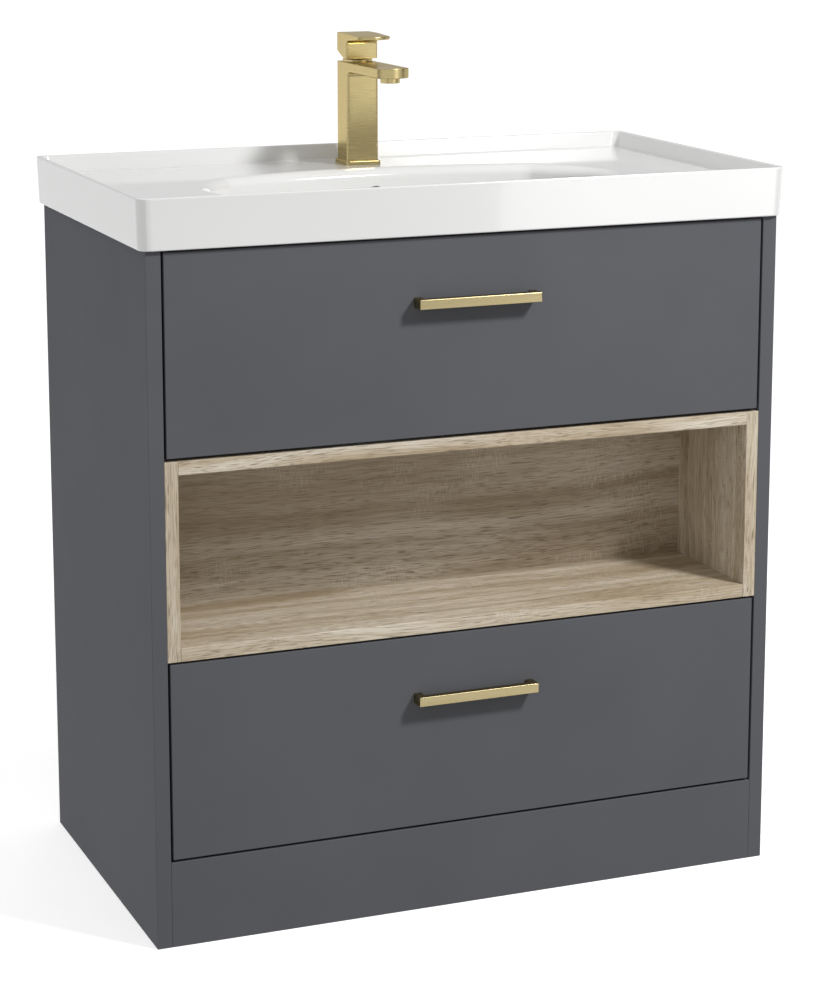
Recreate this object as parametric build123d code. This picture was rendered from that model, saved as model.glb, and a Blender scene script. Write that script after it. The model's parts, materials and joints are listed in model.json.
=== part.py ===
"""Floor-standing bathroom vanity: drawer cabinet, open oak niche, ceramic basin and mixer tap.

Frame, in millimetres: the floor is z = 0, x = 0 is the middle of the width and +X is the right
hand side of someone who stands in front. The front faces -Y. y = 0 is halfway between the front
of the handles and the wall, so the origin is the middle of the bottom of the whole object.
"""
from build123d import *
import math
import os

# Cabinet ------------------------------------------------------------------------------------
cabinet_width = 790.0
cabinet_depth = 445.0
cabinet_height = 814.5
board = 18.0            # lacquered carcass boards, drawer fronts and plinth
thin_board = 16.0       # oak-effect boards and rails
edge_round = 0.8        # eased edges of every board
plinth_height = 103.0
module_pitch = 236.75   # lower drawer, niche and upper drawer share the height equally
front_gap = 3.0         # shadow gap round a drawer front
niche_depth = 190.0
rail_height = 100.0
front_rail_height = 44.0

# Handles ------------------------------------------------------------------------------------
handle_length = 153.0
handle_height = 11.6
handle_bar_depth = 9.5
handle_projection = 20.0
handle_below_top = 74.0  # from a drawer front's top edge down to the handle's middle

# Basin --------------------------------------------------------------------------------------
basin_height = 59.0
basin_half_width = 403.5
basin_taper = 2.0        # each side is this much narrower at the bottom
basin_overhang = 8.0     # in front of the cabinet
basin_corners = (15, 4)  # front and back corner radii of the outline
rim_corners = (11, 4)    # the same inside the rim, at its top
deck_corners = (8, 3)    # the same at the deck
rim_height = 20.0        # above the deck
rim_width = 5.0
rim_foot = 12.0          # from the outer face to where the rim's inner slope meets the deck
deck_thickness = 10.0
skirt_width = 28.0
bowl_setback = 190.0     # from the cabinet's front to the bowl's middle
bowl_wall = 9.0
bowl_power = 2.8         # superellipse exponent of the bowl's outline
bowl_half_width = 252.5  # below the lip
bowl_half_depth = 127.5
bowl_depth = 112.0       # from the deck to the flat round the waste
bowl_profile_power = 3.0
lip_height = 12.0
# the rounded lip: drop below the deck, and how much wider it is there than the bowl
lip_steps = [(0.0, 15.5), (2.2, 8.6), (6.0, 3.2)]
# how far down the wall each lower section lies, as a share of its height
wall_steps = [0.0, 0.16, 0.35, 0.55, 0.72, 0.85, 0.94, 0.985]
overflow_radius = 12.5
duct_wall = 5.0
duct_half_width = 10.0   # of the hollow
duct_reach = 154.0       # from the bowl's middle to the back of the duct's hollow
boss_radius = 36.0       # the thick ring of ceramic round the waste
boss_height = 16.0
overflow_drop = 34.0     # from the deck to the overflow's middle

# Waste and trap -----------------------------------------------------------------------------
waste_setback = 200.0    # from the cabinet's front
waste_hole_radius = 23.0
waste_tube_radius = 20.9
waste_flange_radius = 32.0
plug_travel = 8.0
outlet_radius = 16.0     # 32 mm waste pipe
outlet_insertion = 60.0  # from the pipe's end to the groove that marks how far it goes in
outlet_drop = 160.0      # from the cabinet's top to the outlet's axis

# Tap ----------------------------------------------------------------------------------------
tap_setback = 381.0      # from the cabinet's front to the tap's axis
tap_width = 42.5
tap_depth = 38.0
tap_height = 130.0       # from the deck to the spout's top
tap_hole_radius = 17.5
spout_reach = 130.0      # from the tap's axis to the front of the spout
spout_thickness = 12.5
aerator_radius = 12.0
aerator_reach = 113.0
ring_height = 3.8
lever_reach = 66.0       # from the tap's axis to the front of the lever
lever_height = 32.6
lever_tip = 4.0          # thickness of the grip at its front end
lever_fall = 2.0         # from the back of the lever's top to its front end
tip_arc = 8.0            # how far the spout's and the lever's front edges bow out
fit = 0.05               # radial clearance of a dowel, a screw or a running fit

# Drawers ------------------------------------------------------------------------------------
runner_width = 12.7
runner_height = 45.0
runner_length = 400.0
steel = 1.2
side_thickness = 12.0
side_length = 385.0
drawer_base = 8.0
base_groove = 5.0
base_lift = 10.0         # from a drawer side's bottom edge to the underside of its base
cutout_half_width = 80.0
cutout_start = 140.0     # from the cabinet's front
liner_thickness = 6.0
liner_corner = 40.0

# Worked out from the above ------------------------------------------------------------------
front_y = handle_projection - (cabinet_depth + handle_projection) / 2
back_y = front_y + cabinet_depth
half_width = cabinet_width / 2
inner_x = half_width - board
front_half = inner_x - front_gap
lower_top = plinth_height + module_pitch
niche_top = lower_top + module_pitch
front_height = module_pitch - front_gap - 0.75
lower_front_z = plinth_height + front_gap
upper_front_z = niche_top + front_gap - 0.75
basin_top = cabinet_height + basin_height
deck_z = basin_top - rim_height
deck_under = deck_z - deck_thickness
bowl_y = front_y + bowl_setback
waste_y = front_y + waste_setback
waste_z = deck_z - bowl_depth
outlet_z = cabinet_height - outlet_drop
tap_y = front_y + tap_setback
spout_top = deck_z + tap_height
ring_top = spout_top + ring_height
side_x = inner_x - runner_width
side_y = front_y + board
side_back = side_y + side_length
back_rail_y = back_y - thin_board
drawers = {
    "lower": {"front_z": lower_front_z, "side_z": 122.0, "side_height": 180.0, "runner_z": 170.0},
    "upper": {"front_z": upper_front_z, "side_z": 592.0, "side_height": 108.0, "runner_z": 646.0},
}


def block(x0, x1, y0, y1, z0, z1, round_edges=0.0):
    """A box between two corners, with its edges eased."""
    solid = Pos((x0 + x1) / 2, (y0 + y1) / 2, (z0 + z1) / 2) * Box(x1 - x0, y1 - y0, z1 - z0)
    return fillet(solid.edges(), round_edges) if round_edges else solid


def rod(radius, start, end):
    """A round bar between two points."""
    start = Vector(*start)
    along = Vector(*end) - start
    return Solid.make_cylinder(radius, along.length, Plane(origin=start, z_dir=along))


def tube(outer, inner, start, end):
    """A round bar with a round hole right through it."""
    return rod(outer, start, end) - rod(inner, start, end)


def hexagon(across_flats, x, y, z0, z1):
    """A hexagonal bar along Z."""
    outline = RegularPolygon(across_flats / 2, 6, major_radius=False)
    return extrude(Pos(x, y, z0) * outline, amount=z1 - z0)


def mirrored(solid):
    """The same piece on the cabinet's other side."""
    return mirror(solid, about=Plane.YZ)


def group(solids):
    """Separate solids that share one node."""
    return Compound(children=list(solids))


# Fastening points: each is the (y, z) of a fastener in the end face of a cross member ---------
def member_ends():
    """The (y, z) of the dowels and of the cam fittings in each cross member's ends."""
    base_z = plinth_height - thin_board / 2
    plinth_y = front_y + board / 2
    rail_y = back_y - thin_board / 2
    front_rail_y = front_y + board + 2 + thin_board / 2
    top_z = cabinet_height
    return {
        "base_panel": {
            "dowels": [(front_y + 90, base_z), (back_y - 60, base_z)],
            "cams": [(front_y + 130, base_z), (back_y - 100, base_z)],
        },
        "plinth_board": {"dowels": [(plinth_y, 25.0), (plinth_y, 70.0)], "cams": []},
        "front_top_rail": {
            "dowels": [(front_rail_y, top_z - 32)],
            "cams": [(front_rail_y, top_z - 14)],
        },
        "rear_top_rail": {
            "dowels": [(rail_y, top_z - 80)],
            "cams": [(rail_y, top_z - 25)],
        },
        "rear_lower_rail": {
            "dowels": [(rail_y, plinth_height + 20)],
            "cams": [(rail_y, plinth_height + 75)],
        },
    }


dowel_radius = 4.0
dowel_in_side = 12.0
dowel_in_member = 18.0
cam_radius = 7.5
cam_depth = 12.5
cam_from_end = 24.0
cam_bolt_radius = 3.5
cam_bolt_in_side = 11.0
niche_dowel_radius = 3.0


def all_points(kind):
    """Every (y, z) of one kind of fastener."""
    return [point for ends in member_ends().values() for point in ends[kind]]


def drill_member(solid, name):
    """Bores a cross member's two ends for its dowels and cam bolts, and its face for the cams."""
    ends = member_ends()[name]
    upright = name != "base_panel"
    for side in (-1, 1):
        for y, z in ends["dowels"]:
            depth = dowel_in_member + 1
            start = (side * inner_x, y, z)
            solid -= rod(dowel_radius + fit, start, (side * (inner_x - depth), y, z))
        for y, z in ends["cams"]:
            bolt_end = (side * (inner_x - cam_from_end), y, z)
            solid -= rod(cam_bolt_radius + fit, (side * inner_x, y, z), bolt_end)
            solid -= cam_hole(side, y, z, upright, cam_radius + fit, cam_depth + 0.3)
    return solid


def cam_hole(side, y, z, upright, radius, depth):
    """The round pocket of one cam disc, bored from the hidden face of its member."""
    x = side * (inner_x - cam_from_end)
    half = thin_board / 2
    if not upright:
        return rod(radius, (x, y, z - half), (x, y, z - half + depth))
    if y < 0:
        return rod(radius, (x, y + half, z), (x, y + half - depth, z))
    return rod(radius, (x, y - half, z), (x, y - half + depth, z))


# Carcass --------------------------------------------------------------------------------------
def side_panel(side):
    """A side board down to the floor, bored for the fasteners that hold the cross members."""
    panel = block(inner_x, half_width, front_y, back_y, 0, cabinet_height, edge_round)
    for y, z in all_points("dowels"):
        panel -= rod(dowel_radius + fit, (inner_x, y, z), (inner_x + dowel_in_side + 1, y, z))
    for y, z in all_points("cams"):
        panel -= rod(cam_bolt_radius + fit, (inner_x, y, z), (inner_x + cam_bolt_in_side + 1, y, z))
    for z in bracket_heights():
        depth = bracket_screw_length + 1
        y = bracket_y + bracket_leg * 0.7
        panel -= rod(bracket_screw_radius + fit, (inner_x, y, z), (inner_x + depth, y, z))
    return panel if side > 0 else mirrored(panel)


def base_panel():
    """The cabinet's floor, level with the top of the plinth."""
    z = plinth_height
    panel = block(-inner_x, inner_x, front_y + board, back_y, z - thin_board, z)
    return drill_member(panel, "base_panel")


def plinth_board():
    """The board under the lower drawer, flush with the side boards' front edges."""
    panel = block(-inner_x, inner_x, front_y, front_y + board, 0, plinth_height, edge_round)
    return drill_member(panel, "plinth_board")


def front_top_rail():
    """The upright rail behind the upper drawer front, under the basin's front edge."""
    y = front_y + board + 2
    z = cabinet_height
    rail = block(-inner_x, inner_x, y, y + thin_board, z - front_rail_height, z)
    return drill_member(rail, "front_top_rail")


wall_hole_radius = 4.0
wall_hole_spacing = 600.0
wall_hole_drop = 50.0


def rear_top_rail():
    """The rail along the top of the back, with the two holes of the wall fixings."""
    z = cabinet_height
    rail = block(-inner_x, inner_x, back_rail_y, back_y, z - rail_height, z)
    for x in (-wall_hole_spacing / 2, wall_hole_spacing / 2):
        hole_z = z - wall_hole_drop
        rail -= rod(wall_hole_radius, (x, back_rail_y - 1, hole_z), (x, back_y + 1, hole_z))
    return drill_member(rail, "rear_top_rail")


def rear_lower_rail():
    """The rail along the bottom of the back, on the cabinet's floor."""
    z = plinth_height
    rail = block(-inner_x, inner_x, back_rail_y, back_y, z, z + rail_height)
    return drill_member(rail, "rear_lower_rail")


def dowels():
    """Beech dowels of the carcass and, thinner, of the oak box."""
    pegs = []
    for side in (-1, 1):
        for y, z in all_points("dowels"):
            start = (side * (inner_x - dowel_in_member), y, z)
            pegs.append(rod(dowel_radius, start, (side * (inner_x + dowel_in_side), y, z)))
        for y, z in niche_dowel_points():
            start = (side * (niche_inner_x - 16), y, z)
            pegs.append(rod(niche_dowel_radius, start, (side * (niche_inner_x + 10), y, z)))
    return group(pegs)


def cam_fittings():
    """Cam discs in the cross members, and the bolts that they pull, in the side boards."""
    solids = []
    for name, ends in member_ends().items():
        for side in (-1, 1):
            for y, z in ends["cams"]:
                neck = inner_x - cam_from_end + cam_radius + 0.2
                bolt_end = (side * (inner_x + cam_bolt_in_side), y, z)
                solids.append(rod(cam_bolt_radius, (side * neck, y, z), bolt_end))
                disc = cam_hole(side, y, z, name != "base_panel", cam_radius, cam_depth)
                slot = cam_slot(side, y, z, name != "base_panel")
                solids.append(disc - slot)
    return group(solids)


def cam_slot(side, y, z, upright):
    """The screwdriver slot across the face of one cam disc."""
    x = side * (inner_x - cam_from_end)
    half = thin_board / 2
    if not upright:
        return block(x - 5, x + 5, y - 0.8, y + 0.8, z - half, z - half + 3)
    if y < 0:
        return block(x - 5, x + 5, y + half - 3, y + half, z - 0.8, z + 0.8)
    return block(x - 5, x + 5, y - half, y - half + 3, z - 0.8, z + 0.8)


# Oak niche ------------------------------------------------------------------------------------
niche_bottom_z = lower_top + 2.0
niche_top_z = niche_top - 1.5
niche_inner_x = inner_x - thin_board
niche_back_y = front_y + niche_depth
bracket_y = niche_back_y
bracket_leg = 30.0
bracket_height = 20.0
bracket_steel = 2.0
bracket_screw_radius = 2.0
bracket_screw_length = 13.0


def bracket_heights():
    """The heights of the two brackets on each side of the niche."""
    return [niche_bottom_z + 35.0, niche_top_z - 35.0]


def niche_dowel_points():
    """The (y, z) of the dowels between the niche's side boards and its other boards."""
    low = niche_bottom_z + thin_board / 2
    high = niche_top_z - thin_board / 2
    back = niche_back_y - thin_board / 2
    along = [front_y + 40, front_y + 120]
    middle = (niche_bottom_z + niche_top_z) / 2
    shelves = [(y, z) for z in (low, high) for y in along]
    return shelves + [(back, middle - 50), (back, middle + 50)]


def drill_niche(solid, sides):
    """Bores the dowel holes that reach into one oak board."""
    for side in sides:
        for y, z in niche_dowel_points():
            start = (side * (niche_inner_x - 17), y, z)
            solid -= rod(niche_dowel_radius + fit, start, (side * (niche_inner_x + 11), y, z))
    return solid


def oak_shelf(z):
    """The niche's top or bottom board, between its side boards."""
    x = niche_inner_x
    shelf = block(-x, x, front_y, niche_back_y, z, z + thin_board, edge_round)
    return drill_niche(shelf, (-1, 1))


def oak_side(side):
    """A side board of the niche, as tall as the whole oak box."""
    low = niche_bottom_z
    wall = block(niche_inner_x, inner_x, front_y, niche_back_y, low, niche_top_z, edge_round)
    wall = drill_niche(wall, (1,))
    for z in bracket_heights():
        x = (niche_inner_x + inner_x) / 2
        end = (x, niche_back_y - bracket_screw_length - 1, z)
        wall -= rod(bracket_screw_radius + fit, (x, niche_back_y, z), end)
    return wall if side > 0 else mirrored(wall)


def oak_back():
    """The niche's back board, inside its other four boards."""
    x = niche_inner_x
    low = niche_bottom_z + thin_board
    high = niche_top_z - thin_board
    panel = block(-x, x, niche_back_y - thin_board, niche_back_y, low, high)
    return drill_niche(panel, (-1, 1))


def niche_bracket(z):
    """A steel angle that ties the back edge of the oak box to the right-hand side board."""
    half = bracket_height / 2
    on_side = block(inner_x - bracket_steel, inner_x, bracket_y, bracket_y + bracket_leg, z - half, z + half)
    on_oak = block(niche_inner_x + 1, inner_x, bracket_y, bracket_y + bracket_steel, z - half, z + half)
    oak_x = (niche_inner_x + inner_x) / 2
    side_hole_y = bracket_y + bracket_leg * 0.7
    hole = bracket_screw_radius + 0.3
    angle = on_side + on_oak
    angle -= rod(hole, (inner_x - 4, side_hole_y, z), (inner_x + 1, side_hole_y, z))
    angle -= rod(hole, (oak_x, bracket_y - 1, z), (oak_x, bracket_y + 4, z))
    return angle


def niche_bracket_screw_pair(z):
    """The two pan-head screws of one angle."""
    oak_x = (niche_inner_x + inner_x) / 2
    side_hole_y = bracket_y + bracket_leg * 0.7
    x = inner_x - bracket_steel
    y = bracket_y + bracket_steel
    radius = bracket_screw_radius
    into_side = rod(radius, (x, side_hole_y, z), (inner_x + bracket_screw_length, side_hole_y, z))
    into_side += rod(radius * 1.9, (x - 2, side_hole_y, z), (x, side_hole_y, z))
    into_oak = rod(radius, (oak_x, y, z), (oak_x, niche_back_y - bracket_screw_length, z))
    into_oak += rod(radius * 1.9, (oak_x, y, z), (oak_x, y + 2, z))
    return [into_side, into_oak]


def niche_brackets():
    """Two steel angles on each side."""
    right = [niche_bracket(z) for z in bracket_heights()]
    return group(right + [mirrored(angle) for angle in right])


def niche_bracket_screws():
    """The screws of the four angles."""
    right = [screw for z in bracket_heights() for screw in niche_bracket_screw_pair(z)]
    return group(right + [mirrored(screw) for screw in right])


# Basin ----------------------------------------------------------------------------------------
def basin_outline(inset, z, corners):
    """A level of the basin's outside, or of its rim's inside, with its front and back corner radii."""
    front = front_y - basin_overhang + inset
    back = back_y - inset
    outline = Pos(0, (front + back) / 2, z) * Rectangle(2 * (basin_half_width - inset), back - front)
    outline = fillet(outline.vertices().sort_by(Axis.Y)[:2], corners[0])
    return fillet(outline.vertices().sort_by(Axis.Y)[-2:], corners[1])


def basin_foot():
    """The lowest level of the skirt, a little smaller in front and at the sides."""
    front = front_y - basin_overhang + basin_taper
    half = basin_half_width - basin_taper
    outline = Pos(0, (front + back_y) / 2, cabinet_height) * Rectangle(2 * half, back_y - front)
    outline = fillet(outline.vertices().sort_by(Axis.Y)[:2], basin_corners[0])
    return fillet(outline.vertices().sort_by(Axis.Y)[-2:], basin_corners[1])


def bowl_section(drop, half, depth):
    """One level of the bowl: a superellipse from its formula."""
    points = []
    count = 28
    for i in range(count):
        angle = 2 * math.pi * i / count
        c = math.cos(angle)
        s = math.sin(angle)
        x = math.copysign(abs(c) ** (2 / bowl_power), c) * half
        y = math.copysign(abs(s) ** (2 / bowl_power), s) * depth
        points.append((x, y))
    level = Plane(origin=(0, bowl_y, deck_z + drop))
    return level * make_face(Spline(*points, periodic=True))


def bowl_form(grow, sink):
    """The bowl as a solid: its inside, or with the wall's thickness its outside."""
    sections = []
    for drop, flare in lip_steps:
        wide = bowl_half_width + flare + grow
        sections.append(bowl_section(-drop - sink, wide, bowl_half_depth + flare + grow))
    for share in wall_steps:
        curve = share ** (bowl_profile_power / 2)
        narrowing = (1 - curve * curve) ** (1 / bowl_profile_power)
        drop = lip_height + (bowl_depth - lip_height) * share / wall_steps[-1]
        wide = bowl_half_width * narrowing + grow
        sections.append(bowl_section(-drop - sink, wide, bowl_half_depth * narrowing + grow))
    return loft(sections)


def overflow_duct(thickness):
    """The duct behind the bowl's rear wall and under its floor, or its hollow."""
    reach = bowl_y + duct_reach
    half = duct_half_width + thickness
    high = deck_z - 16 + thickness
    low = waste_z - duct_half_width - thickness
    start = reach - 12 - thickness
    upright = block(-half, half, start, reach + thickness, low, high)
    under_floor = waste_z - 4 + thickness * 0.4
    return upright + block(-half, half, waste_y, reach + thickness, low, under_floor)


def basin():
    """The glazed basin: skirt, raised rim, deck, bowl, overflow duct, waste hole and tap hole."""
    low = cabinet_height
    body = loft([basin_foot(), basin_outline(0, basin_top, basin_corners)])
    at_rim = basin_outline(rim_width, basin_top, rim_corners)
    body -= loft([basin_outline(rim_foot, deck_z, deck_corners), at_rim])
    hollow = basin_half_width - skirt_width
    hollow_front = front_y - basin_overhang + skirt_width
    body -= block(-hollow, hollow, hollow_front, back_y - skirt_width, low, deck_under)
    room = block(-hollow, hollow, front_y, back_y, waste_z - 40, deck_under + 1)
    body += bowl_form(bowl_wall, bowl_wall) & room
    body += rod(boss_radius, (0, waste_y, waste_z - boss_height), (0, waste_y, waste_z))
    body += overflow_duct(duct_wall)
    body -= bowl_form(0, 0)
    body -= overflow_duct(0)
    overflow_z = deck_z - overflow_drop
    body -= rod(overflow_radius, (0, bowl_y + 90, overflow_z), (0, bowl_y + 150, overflow_z))
    body -= rod(waste_hole_radius, (0, waste_y, waste_z - 40), (0, waste_y, waste_z + 8))
    return body - rod(tap_hole_radius, (0, tap_y, deck_under - 1), (0, tap_y, deck_z + 1))


# Waste ----------------------------------------------------------------------------------------
waste_tube_bottom = waste_z - 60
plug_stem_radius = 4.0
plug_guide_z = waste_z - 34


def waste_flange():
    """The flange and threaded tube of the slotted waste, with the cross bridge of the plug."""
    axis_low = (0, waste_y, waste_tube_bottom)
    body = rod(waste_tube_radius, axis_low, (0, waste_y, waste_z + 1))
    body += rod(waste_flange_radius, (0, waste_y, waste_z), (0, waste_y, waste_z + 3))
    body -= rod(waste_tube_radius - 2.9, axis_low, (0, waste_y, waste_z + 3))
    reach = waste_tube_radius - 1
    bridge = block(-reach, reach, waste_y - 2, waste_y + 2, plug_guide_z - 8, plug_guide_z)
    bridge += block(-2, 2, waste_y - reach, waste_y + reach, plug_guide_z - 8, plug_guide_z)
    bridge += rod(8, (0, waste_y, plug_guide_z - 12), (0, waste_y, plug_guide_z + 4))
    body += bridge
    body -= rod(plug_stem_radius + fit, (0, waste_y, plug_guide_z - 13), (0, waste_y, plug_guide_z + 5))
    slot_z = waste_z - 7
    return body - block(-30, 30, waste_y - 5, waste_y + 5, slot_z - 3.5, slot_z + 3.5)


def waste_plug():
    """The push-to-open plug: a low dome on a stem, with the seal ring under the dome."""
    top = waste_z + 3.4
    dome = rod(waste_flange_radius - 2, (0, waste_y, top), (0, waste_y, top + 5))
    dome = fillet(dome.edges().sort_by(Axis.Z)[-1], 3)
    dome += rod(waste_tube_radius - 4, (0, waste_y, top - 6), (0, waste_y, top + 1))
    return dome + rod(plug_stem_radius, (0, waste_y, plug_guide_z - 14), (0, waste_y, top))


def waste_seal():
    """The rubber cone between the basin's boss and the back nut."""
    high = waste_z - boss_height
    ring = rod(31, (0, waste_y, high - 6), (0, waste_y, high))
    ring = chamfer(ring.edges().sort_by(Axis.Z)[:1], 4)
    return ring - rod(waste_tube_radius + fit, (0, waste_y, high - 7), (0, waste_y, high + 1))


def waste_back_nut():
    """The flanged nut that pulls the waste down on its seals."""
    high = waste_z - boss_height - 6
    nut = hexagon(54, 0, waste_y, high - 9, high) + rod(30, (0, waste_y, high - 2.5), (0, waste_y, high))
    return nut - rod(waste_tube_radius + fit, (0, waste_y, high - 10), (0, waste_y, high + 1))


# Bottle trap ----------------------------------------------------------------------------------
trap_radius = 27.0
trap_wall = 2.5
trap_top = waste_tube_bottom + 2
cup_top = outlet_z - 26
cup_bottom = 585.0


def grip_ribs(radius, count, z0, z1):
    """The upright ribs round a hand nut."""
    ribs = []
    for i in range(count):
        angle = 2 * math.pi * i / count
        x = radius * math.cos(angle)
        y = waste_y + radius * math.sin(angle)
        ribs.append(rod(1.6, (x, y, z0), (x, y, z1)))
    return ribs


def trap_inlet_nut():
    """The hand nut that holds the trap to the waste's tube."""
    low = waste_tube_bottom
    nut = rod(26, (0, waste_y, low + 3), (0, waste_y, low + 21))
    for rib in grip_ribs(26, 12, low + 3, low + 21):
        nut += rib
    return nut - rod(waste_tube_radius + fit, (0, waste_y, low + 2), (0, waste_y, low + 22))


def trap_body():
    """The trap's upper chamber with its dip tube and its side outlet towards the wall."""
    high = waste_tube_bottom
    body = rod(trap_radius, (0, waste_y, cup_top), (0, waste_y, high - 2))
    body += rod(23, (0, waste_y, high - 3), (0, waste_y, high))
    outlet_start = waste_y + trap_radius - 3
    outlet_end = waste_y + trap_radius + 20
    body += rod(20.5, (0, outlet_start, outlet_z), (0, outlet_end, outlet_z))
    body -= rod(trap_radius - trap_wall, (0, waste_y, cup_top - 1), (0, waste_y, high - 2 - trap_wall))
    body -= rod(outlet_radius + fit, (0, outlet_start - 4, outlet_z), (0, outlet_end + 1, outlet_z))
    body += rod(14, (0, waste_y, cup_top - 14), (0, waste_y, high - 2))
    return body - rod(12, (0, waste_y, cup_top - 15), (0, waste_y, high + 1))


def trap_cup():
    """The cup that screws off the trap for cleaning."""
    cup = rod(trap_radius, (0, waste_y, cup_bottom), (0, waste_y, cup_top))
    cup = fillet(cup.edges().sort_by(Axis.Z)[0], 9)
    for rib in grip_ribs(trap_radius, 14, cup_bottom + 12, cup_top):
        cup += rib
    floor_z = cup_bottom + trap_wall
    hollow = rod(trap_radius - trap_wall, (0, waste_y, floor_z), (0, waste_y, cup_top + 1))
    return cup - fillet(hollow.edges().sort_by(Axis.Z)[0], 6)


def trap_outlet_nut():
    """The hand nut round the trap's side outlet."""
    y = waste_y + trap_radius + 4
    nut = tube(24.5, 20.5 + fit, (0, y, outlet_z), (0, y + 16, outlet_z))
    collar = tube(24.5, outlet_radius + fit, (0, y + 16, outlet_z), (0, y + 20, outlet_z))
    return nut + collar


def trap_outlet_pipe():
    """The 32 mm waste pipe that runs back to the wall."""
    start = (0, waste_y + trap_radius + 1, outlet_z)
    end_y = back_y - 1
    pipe = tube(outlet_radius, outlet_radius - 1.8, start, (0, end_y, outlet_z))
    mark_y = end_y - outlet_insertion
    mark_start = (0, mark_y - 1, outlet_z)
    return pipe - tube(outlet_radius + 1, outlet_radius - 0.4, mark_start, (0, mark_y, outlet_z))


# Tap ------------------------------------------------------------------------------------------
base_plate_height = 5.5
cartridge_radius = 13.0
cartridge_bottom = spout_top - 36
driver_radius = 9.5
driver_bottom = spout_top - 12
pivot_z = spout_top - 4
stem_side = 8.0
stud_y = tap_y + 9
inlet_spread = 8.5
inlet_y = tap_y - 4
inlet_radius = 4.6
inlet_depth = 16.0


def rounded_front(half, y_corner, y_front, y_back, z0, z1):
    """A flat bar whose front end is a shallow arc, for the spout and the lever."""
    outline = Polyline((-half, y_corner), (-half, y_back), (half, y_back), (half, y_corner))
    outline += ThreePointArc((half, y_corner), (0, y_front), (-half, y_corner))
    return extrude(Pos(0, 0, z0) * make_face(outline), amount=z1 - z0)


def spout_cove(face_y, under):
    """The hollow curve where the spout's underside runs into the body."""
    half = tap_width / 2 - 4
    radius = 6.0
    y = face_y - radius
    z = under - radius
    cove = block(-half, half, y, face_y + 1, z, under + 1)
    return cove - rod(radius, (-half - 1, y, z), (half + 1, y, z))


def tap_body():
    """The cast body and spout, bored for the cartridge, the water way, the stud and the inlets."""
    half = tap_width / 2
    deep = tap_depth / 2
    low = deck_z + base_plate_height
    column = block(-half, half, tap_y - deep, tap_y + deep, low, spout_top)
    column = fillet(column.edges().filter_by(Axis.Z), 4)
    reach = tap_y - spout_reach
    under = spout_top - spout_thickness
    spout = rounded_front(half, reach + tip_arc, reach, tap_y, under, spout_top)
    spout = fillet(spout.edges().filter_by(Axis.Z).sort_by(Axis.Y)[:2], 5)
    body = column + spout + spout_cove(tap_y - deep, under)
    body -= rod(cartridge_radius + fit, (0, tap_y, cartridge_bottom), (0, tap_y, spout_top + 1))
    aerator_y = tap_y - aerator_reach
    body -= rod(aerator_radius + fit, (0, aerator_y, under - 1), (0, aerator_y, under + 5))
    water_z = under + 6
    body -= rod(3.5, (0, aerator_y, water_z), (0, tap_y, water_z))
    body -= rod(3.5, (0, aerator_y, under + 4), (0, aerator_y, water_z))
    for x in (-inlet_spread, inlet_spread):
        body -= rod(inlet_radius, (x, inlet_y, low - 1), (x, inlet_y, low + inlet_depth))
        body -= rod(3, (x, inlet_y, low), (x, inlet_y, cartridge_bottom + 1))
    return body - rod(4 + fit, (0, stud_y, low - 1), (0, stud_y, low + 22))


def tap_base_plate():
    """The thin plate between the tap's body and the basin's deck, on a flat seal."""
    half = tap_width / 2 + 1.8
    low = deck_z
    plate = block(-half, half, tap_y - 23.5, tap_y + 23.5, low, low + base_plate_height)
    plate = fillet(plate.edges().filter_by(Axis.Z), 4)
    return plate - rod(tap_hole_radius - 2, (0, tap_y, low - 1), (0, tap_y, low + base_plate_height + 1))


def tap_aerator():
    """The aerator under the spout's tip, with its water passages."""
    y = tap_y - aerator_reach
    top = spout_top - spout_thickness + 4.9
    body = rod(aerator_radius, (0, y, top - 11), (0, y, top))
    for i in range(6):
        angle = math.pi / 3 * i
        x = 6.5 * math.cos(angle)
        hole_y = y + 6.5 * math.sin(angle)
        body -= rod(1.7, (x, hole_y, top - 12), (x, hole_y, top + 1))
    return body


def tap_neck_ring():
    """The round collar that hides the cartridge's nut, between the body and the lever."""
    z = spout_top
    return tube(18.8, cartridge_radius + 0.3, (0, tap_y, z), (0, tap_y, ring_top - 0.4))


def tap_cartridge():
    """The ceramic cartridge in its bore, open at the top for the driver."""
    high = ring_top - 0.8
    body = rod(cartridge_radius, (0, tap_y, cartridge_bottom), (0, tap_y, high))
    return body - rod(driver_radius, (0, tap_y, driver_bottom), (0, tap_y, high + 1))


def cartridge_driver():
    """The cartridge's turning driver, slotted for the stem and bored across for its pin."""
    y = tap_y
    top = spout_top
    body = rod(driver_radius - 0.08, (0, y, driver_bottom + 0.3), (0, y, top))
    half = stem_side / 2 + 0.4
    body -= block(-half, half, y - 12, y + 12, driver_bottom + 3, top + 1)
    return body - rod(1.5 + fit, (-7.5, y, pivot_z), (7.5, y, pivot_z))


def cartridge_stem():
    """The square stem that tilts in the driver on its cross pin."""
    half = stem_side / 2
    y = tap_y
    stem = block(-half, half, y - half, y + half, pivot_z - 3.5, ring_top + 17)
    return stem + rod(1.5, (-7.4, y, pivot_z), (7.4, y, pivot_z))


grub_z = ring_top + 14.5


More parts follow.
